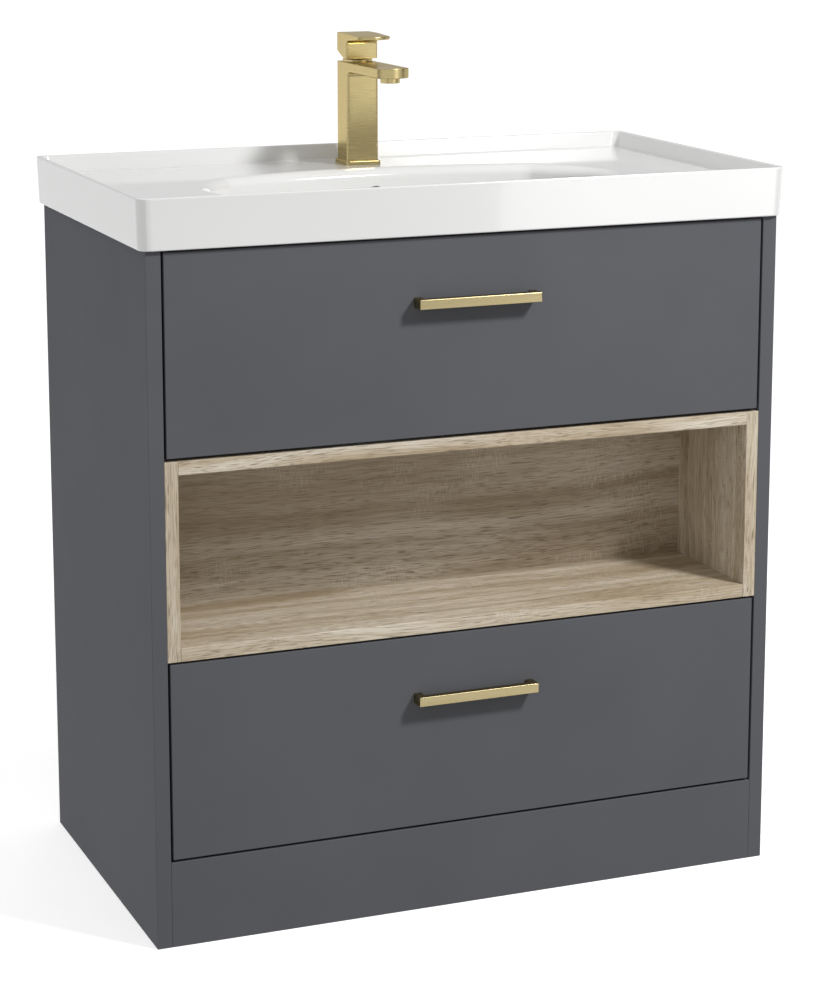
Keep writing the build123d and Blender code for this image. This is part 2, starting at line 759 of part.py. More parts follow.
def tap_lever():
    """The lever: a block over the cartridge and, on it, a flat grip that reaches forward."""
    half = tap_width / 2 + 0.3
    low = ring_top + 0.4
    front_face = tap_y - 15.8
    back_face = tap_y + 16.2
    top = ring_top + lever_height
    reach = tap_y - lever_reach
    tip_top = top - lever_fall
    profile = Polyline(
        (front_face, low), (tap_y - 5, low), (back_face, low + 8), (back_face, top),
        (reach, tip_top), (reach, tip_top - lever_tip), (front_face, top - 10), close=True)
    lever = extrude(Plane.YZ * make_face(profile), amount=half, both=True)
    grip = rounded_front(half, reach + tip_arc, reach, back_face + 10, low - 5, top + 5)
    grip = fillet(grip.edges().filter_by(Axis.Z).sort_by(Axis.Y)[:2], 4)
    lever = lever & grip
    socket = stem_side / 2 + 0.1
    lever -= block(-socket, socket, tap_y - socket, tap_y + socket, low - 1, ring_top + 17.2)
    return lever - rod(2.5 + fit, (0, tap_y, grub_z), (0, back_face + 1, grub_z))


def lever_grub_screw():
    """The hexagon-socket set screw that holds the lever on the stem."""
    start = (0, tap_y + stem_side / 2, grub_z)
    end_y = tap_y + 15.0
    screw = rod(2.5, start, (0, end_y, grub_z))
    socket = extrude(Plane(origin=(0, end_y, grub_z), z_dir=(0, -1, 0)) * RegularPolygon(1.3, 6), amount=3)
    return screw - socket


def horseshoe(radius, thickness, top):
    """A washer with a slot that lets the supply connections past."""
    disc = rod(radius, (0, tap_y, top - thickness), (0, tap_y, top))
    disc -= block(-15.5, 15.5, tap_y - radius - 1, tap_y + 3, top - thickness - 1, top + 1)
    return disc - rod(4 + 0.3, (0, stud_y, top - thickness - 1), (0, stud_y, top + 1))


def tap_washer():
    """The rubber horseshoe against the underside of the deck."""
    return horseshoe(25, 3, deck_under)


def tap_clamp_plate():
    """The steel horseshoe under the rubber one."""
    return horseshoe(25, 2, deck_under - 3)


def tap_stud():
    """The M8 stud from the tap's body down through the deck."""
    top = deck_z + base_plate_height + 20
    return rod(4, (0, stud_y, deck_under - 45), (0, stud_y, top))


def tap_nut():
    """The long nut that pulls the tap down."""
    top = deck_under - 5
    return hexagon(13, 0, stud_y, top - 16, top) - rod(4 + fit, (0, stud_y, top - 17), (0, stud_y, top + 1))


# Drawer runners -------------------------------------------------------------------------------
def channel(x_web, x_tip, half_height, y0, y1, z):
    """A C-shaped steel rail whose web is at x_web and whose two lips reach to x_tip."""
    low_x = min(x_web, x_tip)
    high_x = max(x_web, x_tip)
    inward = steel if x_tip > x_web else -steel
    rail = block(low_x, high_x, y0, y1, z - half_height, z + half_height)
    inside = sorted((x_web + inward, x_tip + inward))
    lip = half_height - steel
    return rail - block(inside[0], inside[1], y0 - 1, y1 + 1, z - lip, z + lip)


def both_sides(solid):
    """The left and the right one of a pair of identical rails."""
    return group([solid, mirrored(solid)])


def cabinet_rails(z):
    """The fixed outer rails, on the side boards."""
    y = front_y + 25
    rail = channel(inner_x, inner_x - 10, runner_height / 2, y, y + runner_length, z)
    return both_sides(rail)


def middle_rails(z):
    """The middle rails, which travel half as far as the drawer."""
    y = front_y + 30
    length = runner_length - 10
    half = runner_height / 2 - 5
    inner = channel(inner_x - 6, inner_x - 9.5, half, y, y + length, z)
    outer = channel(inner_x - 6, inner_x - 2, half, y, y + length, z)
    return both_sides(inner + outer)


def drawer_rails(z):
    """The inner rails, on the drawer's sides."""
    y = front_y + board + 4
    half = runner_height / 2 - 10
    rail = channel(side_x, side_x + 5.5, half, y, y + side_length - 6, z)
    return both_sides(rail)


# Drawers --------------------------------------------------------------------------------------
def drawer_front(name):
    """A drawer front with its handle's two screw holes and the groove of the base."""
    size = drawers[name]
    low = size["front_z"]
    panel = block(-front_half, front_half, front_y, front_y + board, low, low + front_height, edge_round)
    z = handle_z(name)
    for x in screw_spots():
        panel -= rod(2.2, (x, front_y - 1, z), (x, front_y + board + 1, z))
    base_z = size["side_z"] + base_lift
    reach = side_x - side_thickness + base_groove
    groove_y = front_y + board - base_groove
    return panel - block(-reach, reach, groove_y, front_y + board + 1, base_z, base_z + drawer_base)


def drawer_side(name, side):
    """A drawer's side board, grooved for the base."""
    size = drawers[name]
    low = size["side_z"]
    inside = side_x - side_thickness
    wall = block(inside, side_x, side_y, side_back, low, low + size["side_height"], edge_round)
    base_z = low + base_lift
    wall -= block(inside - 1, inside + base_groove, side_y - 1, side_back + 1, base_z, base_z + drawer_base)
    return wall if side > 0 else mirrored(wall)


def drawer_floor(name):
    """A drawer's base, held in the grooves. The upper one has the cut-out for the trap."""
    size = drawers[name]
    reach = side_x - side_thickness + base_groove
    low = size["side_z"] + base_lift
    start = front_y + board - base_groove
    floor = block(-reach, reach, start, side_back, low, low + drawer_base)
    if name == "lower":
        return floor
    return floor - trap_cutout(cutout_half_width, liner_corner, low - 1, low + drawer_base + 1)


def trap_cutout(half, corner, z0, z1):
    """A U-shaped space, open to the back, that passes round the trap."""
    start = front_y + cutout_start + cutout_half_width - half
    space = block(-half, half, start, side_back + 30, z0, z1)
    return fillet(space.edges().filter_by(Axis.Z).sort_by(Axis.Y)[:2], corner)


def cutout_liner():
    """The U-shaped wall round the upper drawer's cut-out."""
    size = drawers["upper"]
    low = size["side_z"] + base_lift + drawer_base
    high = size["side_z"] + size["side_height"]
    wall = trap_cutout(cutout_half_width + liner_thickness, liner_corner + liner_thickness, low, high)
    wall -= trap_cutout(cutout_half_width, liner_corner, low - 1, high + 1)
    return wall & block(-200, 200, front_y, side_back, low - 1, high + 1)


def drawer_back(name):
    """The board across the back, or on the upper drawer one on each side of the cut-out."""
    size = drawers[name]
    reach = side_x - side_thickness
    low = size["side_z"] + base_lift + drawer_base
    high = size["side_z"] + size["side_height"]
    start = side_back - side_thickness
    if name == "lower":
        return block(-reach, reach, start, side_back, low, high)
    right = block(cutout_half_width + liner_thickness, reach, start, side_back, low, high)
    return both_sides(right)


# Handles --------------------------------------------------------------------------------------
def handle_z(name):
    """The height of a handle's middle."""
    return drawers[name]["front_z"] + front_height - handle_below_top


def screw_spots():
    """The x of a handle's two screws."""
    reach = handle_length / 2 - handle_bar_depth / 2
    return (-reach, reach)


def handle(name):
    """A square bar pull: a bar and two legs from one bent square section."""
    z = handle_z(name)
    half = handle_length / 2
    half_high = handle_height / 2
    front = front_y - handle_projection
    solid = block(-half, half, front, front_y, z - half_high, z + half_high)
    inner = half - handle_bar_depth
    solid -= block(-inner, inner, front + handle_bar_depth, front_y + 1, z - 10, z + 10)
    solid = fillet(solid.edges(), 0.8)
    for x in screw_spots():
        solid -= rod(2 + fit, (x, front_y - 12, z), (x, front_y + 1, z))
    return solid


def handle_screws(name):
    """The two pan-head screws behind a drawer front."""
    z = handle_z(name)
    inside = front_y + board
    screws = []
    for x in screw_spots():
        shank = rod(2, (x, front_y - 11, z), (x, inside, z))
        screws.append(shank + rod(4, (x, inside, z), (x, inside + 2.6, z)))
    return group(screws)


def make_nodes():
    """Every node's name and solid."""
    nodes = {
        "left_side_panel": side_panel(-1),
        "right_side_panel": side_panel(1),
        "base_panel": base_panel(),
        "plinth_board": plinth_board(),
        "front_top_rail": front_top_rail(),
        "rear_top_rail": rear_top_rail(),
        "rear_lower_rail": rear_lower_rail(),
        "dowels": dowels(),
        "cam_fittings": cam_fittings(),
        "oak_top_board": oak_shelf(niche_top_z - thin_board),
        "oak_bottom_board": oak_shelf(niche_bottom_z),
        "oak_left_board": oak_side(-1),
        "oak_right_board": oak_side(1),
        "oak_back_board": oak_back(),
        "niche_brackets": niche_brackets(),
        "niche_bracket_screws": niche_bracket_screws(),
        "basin": basin(),
        "waste_flange": waste_flange(),
        "waste_plug": waste_plug(),
        "waste_seal": waste_seal(),
        "waste_back_nut": waste_back_nut(),
        "trap_inlet_nut": trap_inlet_nut(),
        "trap_body": trap_body(),
        "trap_cup": trap_cup(),
        "trap_outlet_nut": trap_outlet_nut(),
        "trap_outlet_pipe": trap_outlet_pipe(),
        "tap_body": tap_body(),
        "tap_base_plate": tap_base_plate(),
        "tap_aerator": tap_aerator(),
        "tap_neck_ring": tap_neck_ring(),
        "tap_cartridge": tap_cartridge(),
        "cartridge_driver": cartridge_driver(),
        "cartridge_stem": cartridge_stem(),
        "tap_lever": tap_lever(),
        "lever_grub_screw": lever_grub_screw(),
        "tap_washer": tap_washer(),
        "tap_clamp_plate": tap_clamp_plate(),
        "tap_stud": tap_stud(),
        "tap_nut": tap_nut(),
        "upper_cutout_liner": cutout_liner(),
    }
    for name, size in drawers.items():
        nodes[name + "_cabinet_rails"] = cabinet_rails(size["runner_z"])
        nodes[name + "_middle_rails"] = middle_rails(size["runner_z"])
        nodes[name + "_drawer_rails"] = drawer_rails(size["runner_z"])
        nodes[name + "_drawer_front"] = drawer_front(name)
        nodes[name + "_drawer_left_side"] = drawer_side(name, -1)
        nodes[name + "_drawer_right_side"] = drawer_side(name, 1)
        nodes[name + "_drawer_base"] = drawer_floor(name)
        nodes[name + "_drawer_back"] = drawer_back(name)
        nodes[name + "_handle"] = handle(name)
        nodes[name + "_handle_screws"] = handle_screws(name)
    return nodes


os.makedirs("parts", exist_ok=True)
for node_name, solid in make_nodes().items():
    export_step(solid, f"parts/{node_name}.step")
    print("wrote", node_name)
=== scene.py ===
import bmesh
import bpy
import json
import math
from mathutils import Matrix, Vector


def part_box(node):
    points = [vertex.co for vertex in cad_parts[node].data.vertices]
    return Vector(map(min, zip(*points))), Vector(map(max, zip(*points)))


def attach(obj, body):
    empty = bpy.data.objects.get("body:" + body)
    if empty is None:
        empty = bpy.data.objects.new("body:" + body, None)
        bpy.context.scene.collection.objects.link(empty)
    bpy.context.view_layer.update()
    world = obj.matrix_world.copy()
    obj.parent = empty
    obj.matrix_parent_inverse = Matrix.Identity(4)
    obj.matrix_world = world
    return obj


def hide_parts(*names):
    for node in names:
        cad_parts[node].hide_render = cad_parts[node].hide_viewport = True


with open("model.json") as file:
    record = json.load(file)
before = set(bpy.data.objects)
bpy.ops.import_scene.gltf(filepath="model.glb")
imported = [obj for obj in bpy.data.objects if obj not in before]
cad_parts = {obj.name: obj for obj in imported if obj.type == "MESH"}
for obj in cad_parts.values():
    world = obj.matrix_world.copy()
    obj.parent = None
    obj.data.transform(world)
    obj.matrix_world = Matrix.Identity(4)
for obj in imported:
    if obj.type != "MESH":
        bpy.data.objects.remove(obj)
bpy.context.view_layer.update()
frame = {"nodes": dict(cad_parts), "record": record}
print("frame loaded:", len(frame["nodes"]), "nodes")

mm = 0.001
smoothAngle = math.radians(35)   # faces that meet at less than this are shaded as one
touch = 0.2 * mm                 # places nearer than this count as the same


def startMesh(addPrimitive, **settings):
    # everything else is deselected first, then the primitive opens in edit mode, its place applied
    bpy.ops.object.select_all(action="DESELECT")
    addPrimitive(**settings)
    bpy.ops.object.transform_apply(location=True, rotation=True, scale=True)
    bpy.ops.object.mode_set(mode="EDIT")


def pick(kind, test):
    # selects the vertices, edges or faces that pass the test, by their place or normal
    bpy.ops.mesh.select_mode(type=kind)
    bpy.ops.mesh.select_all(action="DESELECT")
    mesh = bmesh.from_edit_mesh(bpy.context.object.data)
    parts = {"VERT": mesh.verts, "EDGE": mesh.edges, "FACE": mesh.faces}[kind]
    for part in [part for part in parts if test(part)]:
        part.select_set(True)
    mesh.select_flush_mode()
    bmesh.update_edit_mesh(bpy.context.object.data)


def middle(edge):
    return (edge.verts[0].co + edge.verts[1].co) / 2


def along(edge, axis):
    # true for an edge that runs along one axis (0 is x, 1 is y, 2 is z)
    run = (edge.verts[1].co - edge.verts[0].co).normalized()
    return abs(run[axis]) > 0.99


def near(a, b):
    return abs(a - b) < touch


def grow(value, centre):
    bpy.ops.transform.resize(value=value, center_override=centre)


def finishMesh(name):
    # closes the edit: doubles merged, outward normals, smooth shading below the angle
    bpy.ops.mesh.select_all(action="SELECT")
    bpy.ops.mesh.remove_doubles(threshold=0.005 * mm)
    bpy.ops.mesh.normals_make_consistent(inside=False)
    bpy.ops.object.mode_set(mode="OBJECT")
    piece = bpy.context.object
    piece.name = name
    piece.data.name = name
    bpy.ops.object.shade_smooth_by_angle(angle=smoothAngle)
    return piece


def useModifier(piece, kind, **settings):
    # adds a modifier and applies it at once
    bpy.context.view_layer.objects.active = piece
    modifier = piece.modifiers.new(kind.title(), kind)
    for key, value in settings.items():
        setattr(modifier, key, value)
    bpy.ops.object.modifier_apply(modifier=modifier.name)


def roundEdges(piece, width, segments, angle):
    # rounds every edge that is sharper than the angle
    useModifier(piece, "BEVEL", width=width, segments=segments, limit_method="ANGLE",
                angle_limit=math.radians(angle), use_clamp_overlap=True)


def roundWeighted(piece, width, segments):
    # rounds each edge by its bevel weight, where 1 is the full width
    useModifier(piece, "BEVEL", width=width, segments=segments, limit_method="WEIGHT",
                use_clamp_overlap=False)


def cutAway(piece, cutter, operation="DIFFERENCE"):
    useModifier(piece, "BOOLEAN", operation=operation, object=cutter, solver="EXACT")
    bpy.data.objects.remove(cutter)


def turned(name, centre, steps, axis=2, sides=64):
    # a turned piece: a circle, extruded along the axis and resized through (place, radius) steps
    spin = {0: (0, math.pi / 2, 0), 1: (math.pi / 2, 0, 0), 2: (0, 0, 0)}[axis]
    place = Vector(centre)
    place[axis] = steps[0][0]
    startMesh(bpy.ops.mesh.primitive_circle_add, vertices=sides, radius=steps[0][1],
              location=place, rotation=spin)
    bpy.ops.mesh.select_all(action="SELECT")
    bpy.ops.mesh.edge_face_add()
    bpy.ops.mesh.select_mode(type="EDGE")
    for before, after in zip(steps, steps[1:]):
        shift = Vector((0, 0, 0))
        shift[axis] = after[0] - before[0]
        bpy.ops.mesh.extrude_edges_move(TRANSFORM_OT_translate={"value": shift})
        place[axis] = after[0]
        factor = after[1] / before[1]
        size = [factor] * 3
        size[axis] = 1
        grow(size, place)
    bpy.ops.mesh.edge_face_add()
    return finishMesh(name)


def toLinear(hexColour):
    # sRGB hex to the linear values that shader sockets want
    parts = [int(hexColour[i:i + 2], 16) / 255 for i in (1, 3, 5)]
    return [p / 12.92 if p <= 0.04045 else ((p + 0.055) / 1.055) ** 2.4 for p in parts] + [1.0]


def addNode(tree, kind, settings=None, links=None):
    # settings with a capital letter or a number are sockets, the others are the node's properties
    node = tree.nodes.new("ShaderNode" + kind)
    for key, value in (settings or {}).items():
        if isinstance(key, int) or key[0].isupper():
            node.inputs[key].default_value = value
        else:
            setattr(node, key, value)
    for key, source in (links or {}).items():
        tree.links.new(source, node.inputs[key])
    return node


def startMaterial(name, **surface):
    # a new material with its Principled shader's plain values set on its own sockets
    material = bpy.data.materials.new(name)
    material.use_nodes = True
    tree = material.node_tree
    tree.nodes.clear()
    shader = addNode(tree, "BsdfPrincipled", surface)
    addNode(tree, "OutputMaterial", {}, {"Surface": shader.outputs["BSDF"]})
    return material, tree, shader


def ramp(tree, factor, stops):
    # a colour ramp with its own stops
    node = addNode(tree, "ValToRGB", {}, {"Fac": factor})
    while len(node.color_ramp.elements) < len(stops):
        node.color_ramp.elements.new(0.5)
    for element, (place, colour) in zip(node.color_ramp.elements, stops):
        element.position = place
        element.color = toLinear(colour)
    return node.outputs["Color"]


def grey(tree, factor, low, high, fromLow=0.0, fromHigh=1.0):
    # maps a factor to a number between two values
    node = addNode(tree, "MapRange", {"From Min": fromLow, "From Max": fromHigh,
                                      "To Min": low, "To Max": high}, {"Value": factor})
    return node.outputs["Result"]


def mixColour(tree, factor, first, second, blend="MIX"):
    # second is a socket, or a plain hex colour
    node = addNode(tree, "Mix", {"data_type": "RGBA", "blend_type": blend}, {6: first})
    if isinstance(second, str):
        node.inputs[7].default_value = toLinear(second)
    else:
        tree.links.new(second, node.inputs[7])
    if isinstance(factor, (int, float)):
        node.inputs[0].default_value = factor
    else:
        tree.links.new(factor, node.inputs[0])
    return node.outputs[2]


def stretched(tree, coordinates, scale, place=(0, 0, 0)):
    # a scale under 1 draws the pattern out along that axis
    node = addNode(tree, "Mapping", {"Scale": scale, "Location": place}, {"Vector": coordinates})
    return node.outputs["Vector"]


def noise(tree, coordinates, scale, detail, roughness=0.5):
    node = addNode(tree, "TexNoise", {"Scale": scale, "Detail": detail, "Roughness": roughness},
                   {"Vector": coordinates})
    return node.outputs["Fac"]


def objectPlace(tree):
    return addNode(tree, "TexCoord").outputs["Object"]


def lacquer(name, low, high, roughness):
    # sprayed and cured matt lacquer on MDF: even colour, soft sheen, faint orange peel of
    # about 2 mm. The melamine board beside it is the same grey, a little drier
    material, tree, shader = startMaterial(name, Roughness=roughness, IOR=1.5)
    shader.inputs["Specular IOR Level"].default_value = 0.015   # matt: no bright edge-on glare
    place = objectPlace(tree)
    cloud = noise(tree, place, 7, 2)
    tone = ramp(tree, cloud, [(0.3, low), (0.7, high)])
    tree.links.new(tone, shader.inputs["Base Color"])
    peel = noise(tree, place, 1 / (2.0 * mm), 2)
    bump = addNode(tree, "Bump", {"Strength": 0.05, "Distance": 0.05 * mm}, {"Height": peel})
    tree.links.new(bump.outputs["Normal"], shader.inputs["Normal"])
    sheen = noise(tree, place, 1 / (30 * mm), 3)
    dull = grey(tree, sheen, roughness - 0.03, roughness + 0.04)
    tree.links.new(dull, shader.inputs["Roughness"])
    return material


def oakLaminate(name, grain, figure, tones):
    # printed and embossed oak-effect board: pale sanded oak whose dark pores run in long fine
    # lines that bend round the heart figure, with patches of light saw marks across them.
    # Pores are drawn about 1 mm wide, wider than real, so that they show
    material, tree, shader = startMaterial(name, Roughness=0.55, IOR=1.5)
    place = objectPlace(tree)

    def shape(alongGrain, acrossGrain):
        return [alongGrain if axis == grain else acrossGrain for axis in range(3)]

    # the figure: the grain's coordinates drift by up to 24 mm over about 270 mm of length
    slow = addNode(tree, "TexNoise", {"Scale": 1 / (80 * mm), "Detail": 0.0},
                   {"Vector": stretched(tree, place, shape(0.3, 1.0), figure)})
    drift = addNode(tree, "VectorMath", {"operation": "MULTIPLY", 1: shape(0, 24 * mm)},
                    {0: slow.outputs["Color"]}).outputs[0]
    flow = addNode(tree, "VectorMath", {"operation": "ADD"}, {0: place, 1: drift}).outputs[0]
    rings = noise(tree, stretched(tree, flow, shape(0.02, 1.0)), 1 / (16 * mm), 2)
    tone = ramp(tree, rings, [(0.34, tones[0]), (0.50, tones[1]), (0.64, tones[2])])
    board = noise(tree, stretched(tree, flow, shape(0.15, 1.0), figure), 1 / (60 * mm), 1)
    boardTone = ramp(tree, board, [(0.40, "#cfc1ab"), (0.58, "#fdfbf8")])
    tone = mixColour(tree, 0.65, tone, boardTone, "MULTIPLY")
    fibre = noise(tree, stretched(tree, flow, shape(0.015, 1.0)), 1 / (1.0 * mm), 1)
    pore = noise(tree, stretched(tree, flow, shape(0.05, 1.0), (5, 2, 8)), 1 / (1.0 * mm), 0)
    fibreTone = ramp(tree, fibre, [(0.38, "#cdc3b4"), (0.50, "#f3f0ea"), (0.60, "#ffffff")])
    tone = mixColour(tree, 0.7, tone, fibreTone, "MULTIPLY")
    poreMask = grey(tree, pore, 0.0, 0.7, 0.38, 0.24)
    tone = mixColour(tree, poreMask, tone, tones[3])
    # saw marks: fine light lines across the grain, about 1.2 mm apart, in patches of about 60 mm
    saw = noise(tree, stretched(tree, place, shape(1.0, 0.12)), 1 / (1.2 * mm), 0)
    patch = noise(tree, stretched(tree, place, shape(0.6, 1.0), (4, 9, 1)), 1 / (60 * mm), 1)
    sawMask = addNode(tree, "Math", {"operation": "MULTIPLY"}, {
        0: grey(tree, saw, 0.0, 1.0, 0.50, 0.80), 1: grey(tree, patch, 0.0, 0.26, 0.54, 0.70)})
    tone = mixColour(tree, sawMask.outputs[0], tone, "#f7f2ea")
    tree.links.new(tone, shader.inputs["Base Color"])
    relief = addNode(tree, "Math", {"operation": "ADD"}, {0: fibre, 1: pore})
    bump = addNode(tree, "Bump", {"Strength": 0.35, "Distance": 0.15 * mm},
                   {"Height": relief.outputs[0]})
    tree.links.new(bump.outputs["Normal"], shader.inputs["Normal"])
    tree.links.new(grey(tree, fibre, 0.46, 0.66), shader.inputs["Roughness"])
    return material


def beech(name):
    # turned beech dowel: plain pale wood, fluted grain along its length, which is x
    material, tree, shader = startMaterial(name, Roughness=0.6, IOR=1.5)
    fibre = noise(tree, stretched(tree, objectPlace(tree), (0.1, 1, 1)), 1 / (0.8 * mm), 2)
    tone = ramp(tree, fibre, [(0.3, "#b88f5c"), (0.7, "#dcb987")])
    tree.links.new(tone, shader.inputs["Base Color"])
    return material


def glazedCeramic(name):
    # vitreous china: white body under a clear fired glaze, so it is white with sharp soft-edged
    # reflections, and the glaze pulls into very shallow waves about 60 mm long
    material, tree, shader = startMaterial(name, Roughness=0.12, IOR=1.52)
    shader.inputs["Coat Weight"].default_value = 0.6
    shader.inputs["Coat Roughness"].default_value = 0.03
    place = objectPlace(tree)
    cloud = noise(tree, place, 5, 2)
    tone = ramp(tree, cloud, [(0.3, "#dededd"), (0.7, "#e1e1e0")])
    tree.links.new(tone, shader.inputs["Base Color"])
    wave = noise(tree, place, 1 / (60 * mm), 2)
    bump = addNode(tree, "Bump", {"Strength": 0.04, "Distance": 0.4 * mm}, {"Height": wave})
    tree.links.new(bump.outputs["Normal"], shader.inputs["Normal"])
    return material


def brushedBrass(name, low, high, roughness, brush=(0.12, 0.12, 14)):
    # brass-tone finish brushed with a fine belt: metal with lines along the brushing, which
    # spread the reflections across them. Lines are drawn about 0.6 mm apart so that they show.
    # On the bar pulls they are long soft streaks along the bar
    material, tree, shader = startMaterial(name, Metallic=1.0, Roughness=roughness)
    shader.inputs["Specular Tint"].default_value = toLinear("#f6eedb")   # stays warm edge-on
    place = objectPlace(tree)
    lines = noise(tree, stretched(tree, place, brush), 1 / (9 * mm), 2, 0.6)
    tone = ramp(tree, lines, [(0.25, low), (0.75, high)])
    tree.links.new(tone, shader.inputs["Base Color"])
    dull = grey(tree, lines, roughness - 0.07, roughness + 0.09, 0.3, 0.7)
    tree.links.new(dull, shader.inputs["Roughness"])
    bump = addNode(tree, "Bump", {"Strength": 0.10, "Distance": 0.04 * mm}, {"Height": lines})
    tree.links.new(bump.outputs["Normal"], shader.inputs["Normal"])
    return material


def cloudedMetal(name, low, high, roughness):
    # zinc-plated pressed steel, with cloudy spangle about 12 mm across, and machined brass,
    # whose tarnish is as cloudy
    material, tree, shader = startMaterial(name, Metallic=1.0, Roughness=roughness)
    place = objectPlace(tree)
    cloud = noise(tree, place, 1 / (12 * mm), 4, 0.6)
    tone = ramp(tree, cloud, [(0.3, low), (0.7, high)])
    tree.links.new(tone, shader.inputs["Base Color"])
    dull = grey(tree, cloud, roughness - 0.06, roughness + 0.1)
    tree.links.new(dull, shader.inputs["Roughness"])
    return material


def moulded(name, low, high, roughness):
    # injection-moulded plastic or rubber: even colour, fine spark-eroded grain of about 0.8 mm
    material, tree, shader = startMaterial(name, Roughness=roughness, IOR=1.49)
    place = objectPlace(tree)
    tone = ramp(tree, noise(tree, place, 20, 2), [(0.3, low), (0.7, high)])
    tree.links.new(tone, shader.inputs["Base Color"])
    grain = noise(tree, place, 1 / (0.8 * mm), 2)
    bump = addNode(tree, "Bump", {"Strength": 0.08, "Distance": 0.03 * mm}, {"Height": grain})
    tree.links.new(bump.outputs["Normal"], shader.inputs["Normal"])
    return material


greyLacquer = lacquer("matt grey lacquer", "#5e5f63", "#616266", 0.55)
greyLaminate = lacquer("grey melamine board", "#5e5f63", "#636467", 0.6)
oakTones = ["#c4b8a2", "#d4cab8", "#e0d9cc", "#6d5c47"]   # three of the wood, one of its pores
oakAcross = oakLaminate("oak-effect board, grain across", 0, (3.1, 1.7, 0.6), oakTones)
oakUpright = oakLaminate("oak-effect board, grain upright", 2, (0.7, 5.3, 2.2), oakTones)
# the niche back board is the same oak laminate in darker tones: painted shade, where the key light does
# not reach
oakBackShaded = oakLaminate("oak-effect board, niche back, painted shade", 0, (1.9, 0.4, 4.4),
                      ["#b3a794", "#c2b8a8", "#cec6b9", "#66563f"])   # darker tones: painted shade, for the niche back that lies in shade
beechWood = beech("beech dowel")
whiteGlaze = glazedCeramic("glazed ceramic")
satinBrass = brushedBrass("brushed brass", "#b8a877", "#cab988", 0.26)
# the bar pulls get a darker copy of the same brushed brass: painted shade, which dims the bright floor
# seen in their faces. The long streaks along the bar are the brushing
barBrassShaded = brushedBrass("brushed brass, bar pulls, painted shade", "#8d8160", "#9d9170", 0.28, (0.05, 1, 1))
plainBrass = cloudedMetal("machined brass", "#c3a25a", "#d8bb74", 0.28)
zincSteel = cloudedMetal("zinc-plated steel", "#8f9194", "#b4b6b8", 0.38)
whitePlastic = moulded("white polypropylene", "#e4e4e0", "#ececea", 0.32)
greyPlastic = moulded("grey acetal", "#6c6e70", "#7c7e80", 0.4)
blackRubber = moulded("black rubber", "#18181a", "#222224", 0.6)

nodeLooks = {
    "grey_lacquer": greyLacquer, "grey_laminate": greyLaminate, "oak_laminate": oakAcross,
    "beech": beechWood, "glazed_ceramic": whiteGlaze, "brushed_brass": satinBrass,
    "plain_brass": plainBrass, "black_rubber": blackRubber, "white_plastic": whitePlastic,
    "grey_plastic": greyPlastic, "zinc_steel": zincSteel,
}
ownLooks = {
    "oak_left_board": oakUpright, "oak_right_board": oakUpright, "oak_back_board": oakBackShaded,
    "upper_handle": barBrassShaded, "lower_handle": barBrassShaded,
}
slotOf = {part["node"]: part["material_slot"] for part in frame["record"]["subparts"]}
for node, thing in frame["nodes"].items():
    thing.data.materials.clear()
    thing.data.materials.append(ownLooks.get(node, nodeLooks[slotOf[node]]))
print("materials done")


def settle(piece, body, look, slot, *nodes):
    # gives a finished piece its material and its body, and hides the CAD nodes that it stands for
    piece.data.materials.clear()
    piece.data.materials.append(look)
    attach(piece, body)
    if nodes:
        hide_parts(*nodes)


basinLow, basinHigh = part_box("basin")
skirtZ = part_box("left_side_panel")[1].z     # the basin stands on the side boards
wasteMiddle = (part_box("waste_flange")[0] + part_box("waste_flange")[1]) / 2
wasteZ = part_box("waste_flange")[1].z - 3 * mm
ringLow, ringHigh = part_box("tap_neck_ring")
tapMiddle = (ringLow + ringHigh) / 2
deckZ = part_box("tap_base_plate")[0].z

basin = {
    "taper": 2 * mm,           # each side is narrower by this at the bottom
    "frontCorner": 15 * mm, "backCorner": 4 * mm,
    "rimWidth": 5 * mm, "rimFoot": 12 * mm, "rimCorner": 9 * mm,
    "edgeRound": 1.7 * mm,
    "skirtWidth": 28 * mm, "deckThickness": 10 * mm, "wall": 9 * mm,
    "bowlWide": 252.5 * mm, "bowlDeep": 127.5 * mm,   # half sizes below the lip
    "lip": 12 * mm, "lipFlare": 15.5 * mm,
    "squareness": 0.72,        # how far the square outline is pushed towards round
    "bowlBehindFront": 198 * mm,
    # where the rings of the bowl's wall lie, as shares of its depth
    "wallShares": (0.05, 0.12, 0.22, 0.33, 0.44, 0.55, 0.65, 0.74, 0.82, 0.885, 0.935, 0.965),
    "floorShare": 0.985,       # how far down its curve the bowl wall meets the waste
    "wasteHole": 23 * mm, "boss": 36 * mm, "bossDepth": 14 * mm, "bossBelow": 2 * mm,
    "duct": 15 * mm,           # half width of the overflow duct behind the bowl
    "ductFront": 137 * mm, "ductBack": 159 * mm, "ductBelow": 15 * mm,
    "floorDuctFrom": 20 * mm, "floorDuctBelow": 2.4 * mm,
    "overflow": 12.5 * mm, "overflowDrop": 34 * mm, "overflowFrom": 90 * mm, "overflowTo": 146 * mm,
    "tapHole": 17.5 * mm,
}
bowlY = basinLow.y + basin["bowlBehindFront"]
ceilingZ = deckZ - basin["deckThickness"]


def startBlock(low, high):
    # a cube between two corners, open in edit mode
    low, high = Vector(low), Vector(high)
    size = high - low
    startMesh(bpy.ops.mesh.primitive_cube_add, size=1, location=(low + high) / 2, scale=size)
    return (low + high) / 2


def roundUpright(test, radius, segments):
    pick("EDGE", lambda e: along(e, 2) and test(middle(e)))
    bpy.ops.mesh.bevel(offset=radius, segments=segments, affect="EDGES")


